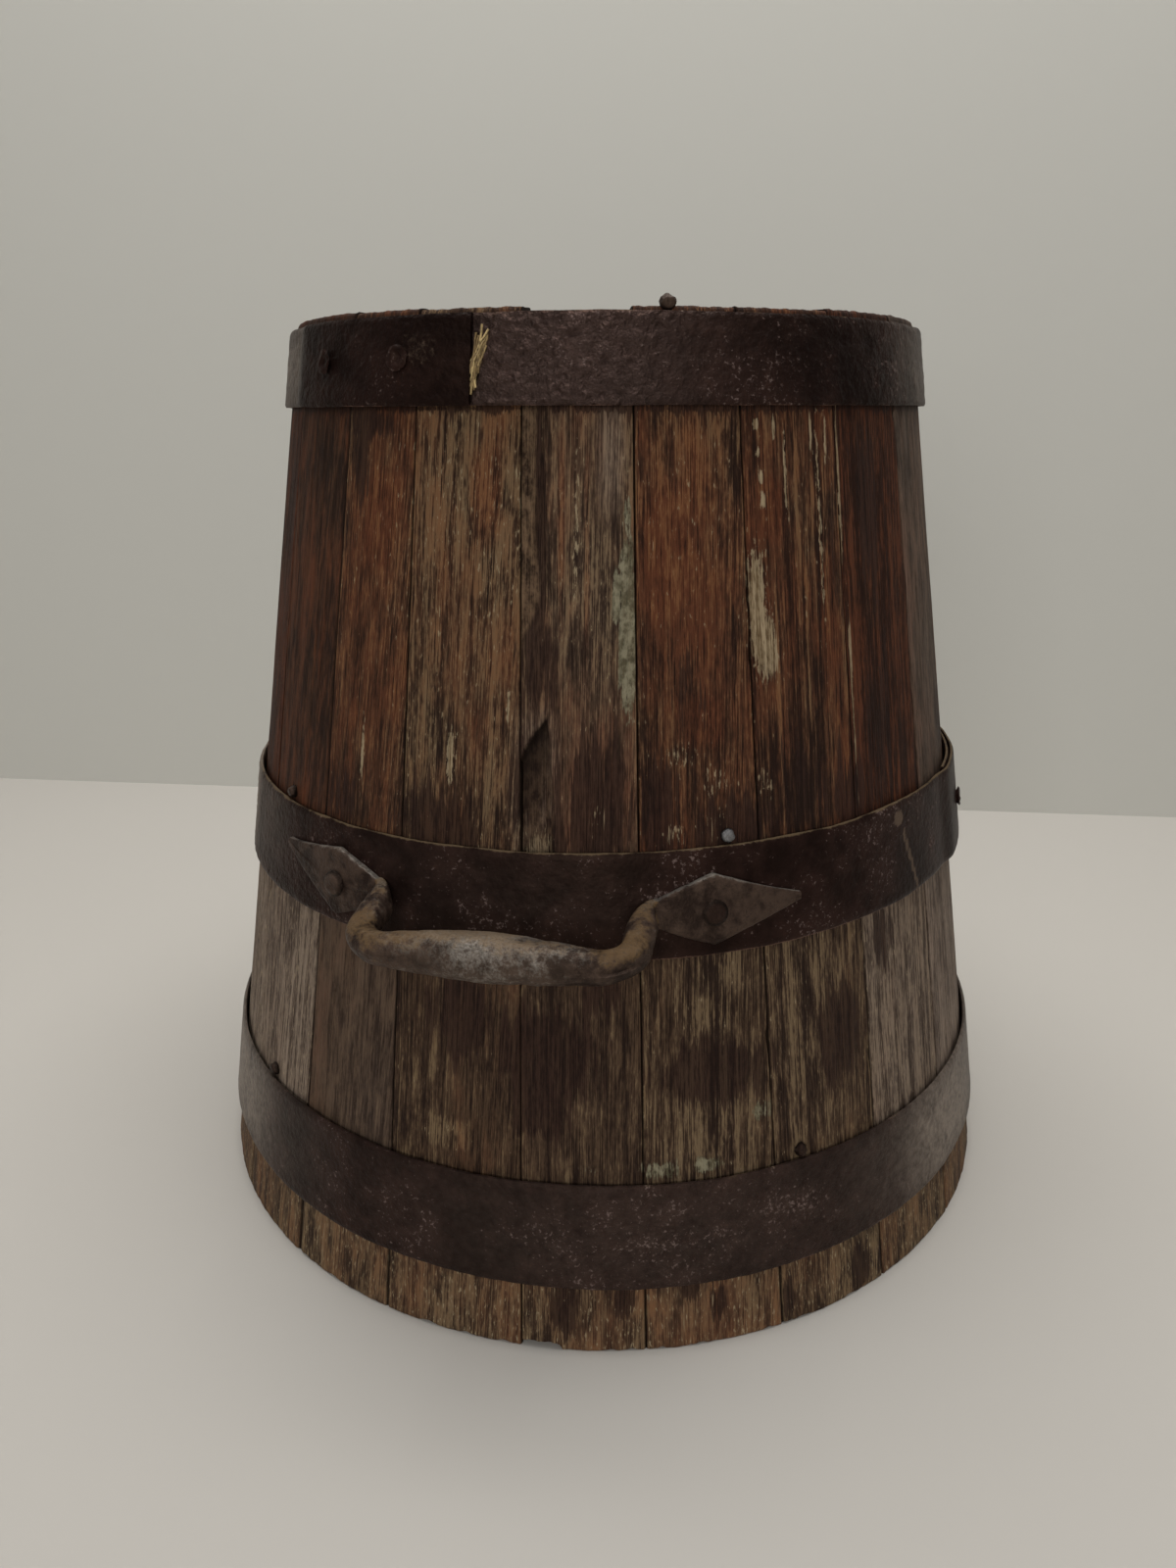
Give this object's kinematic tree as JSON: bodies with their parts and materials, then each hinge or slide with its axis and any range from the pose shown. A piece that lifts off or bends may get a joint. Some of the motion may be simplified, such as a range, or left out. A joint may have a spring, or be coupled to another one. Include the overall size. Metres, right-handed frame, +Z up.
{
  "type": "grain measure",
  "caption": "Tapered coopered grain measure of iron-hooped wooden staves, wider at the foot, with a boarded floor let into the staves and forged bow handles riveted to the middle hoop.",
  "frame": {"origin": "centre of the foot ring, on the surface that the measure stands on", "axes": "+Z up to the mouth, -Y towards the front handle, +X to the right seen from the front"},
  "size_m": [0.42, 0.4412, 0.417],
  "materials": {
    "stave_wood": "old dark stain worn down to the grain",
    "head_wood": "bare, dry",
    "hoop_iron": "blackened, pitted wrought iron",
    "handle_iron": "forged, worn to grey with brown rust",
    "nail_iron": "hand-forged, rusted"
  },
  "bodies": {
    "root": {"stave_01": "stave_wood", "stave_02": "stave_wood", "stave_03": "stave_wood", "stave_04": "stave_wood", "stave_05": "stave_wood", "stave_06": "stave_wood", "stave_07": "stave_wood", "stave_08": "stave_wood", "stave_09": "stave_wood", "stave_10": "stave_wood", "stave_11": "stave_wood", "stave_12": "stave_wood", "stave_13": "stave_wood", "stave_14": "stave_wood", "stave_15": "stave_wood", "stave_16": "stave_wood", "stave_17": "stave_wood", "stave_18": "stave_wood", "stave_19": "stave_wood", "stave_20": "stave_wood", "stave_21": "stave_wood", "stave_22": "stave_wood", "head_board_01": "head_wood", "head_board_02": "head_wood", "head_board_03": "head_wood", "head_dowel_01": "head_wood", "head_dowel_02": "head_wood", "head_dowel_03": "head_wood", "head_dowel_04": "head_wood", "top_hoop": "hoop_iron", "top_hoop_rivet_01": "hoop_iron", "top_hoop_rivet_02": "hoop_iron", "top_hoop_nail_01": "nail_iron", "top_hoop_nail_02": "nail_iron", "middle_hoop": "hoop_iron", "middle_hoop_rivet_01": "hoop_iron", "middle_hoop_rivet_02": "hoop_iron", "middle_hoop_nail_01": "nail_iron", "middle_hoop_nail_02": "nail_iron", "middle_hoop_nail_03": "nail_iron", "middle_hoop_nail_04": "nail_iron", "bottom_hoop": "hoop_iron", "bottom_hoop_rivet_01": "hoop_iron", "bottom_hoop_rivet_02": "hoop_iron", "bottom_hoop_nail_01": "nail_iron", "bottom_hoop_nail_02": "nail_iron", "bottom_hoop_nail_03": "nail_iron", "bottom_hoop_nail_04": "nail_iron", "front_handle": "handle_iron", "front_handle_rivet_01": "handle_iron", "front_handle_rivet_02": "handle_iron", "rear_handle": "handle_iron", "rear_handle_rivet_01": "handle_iron", "rear_handle_rivet_02": "handle_iron"}
  },
  "joints": []
}
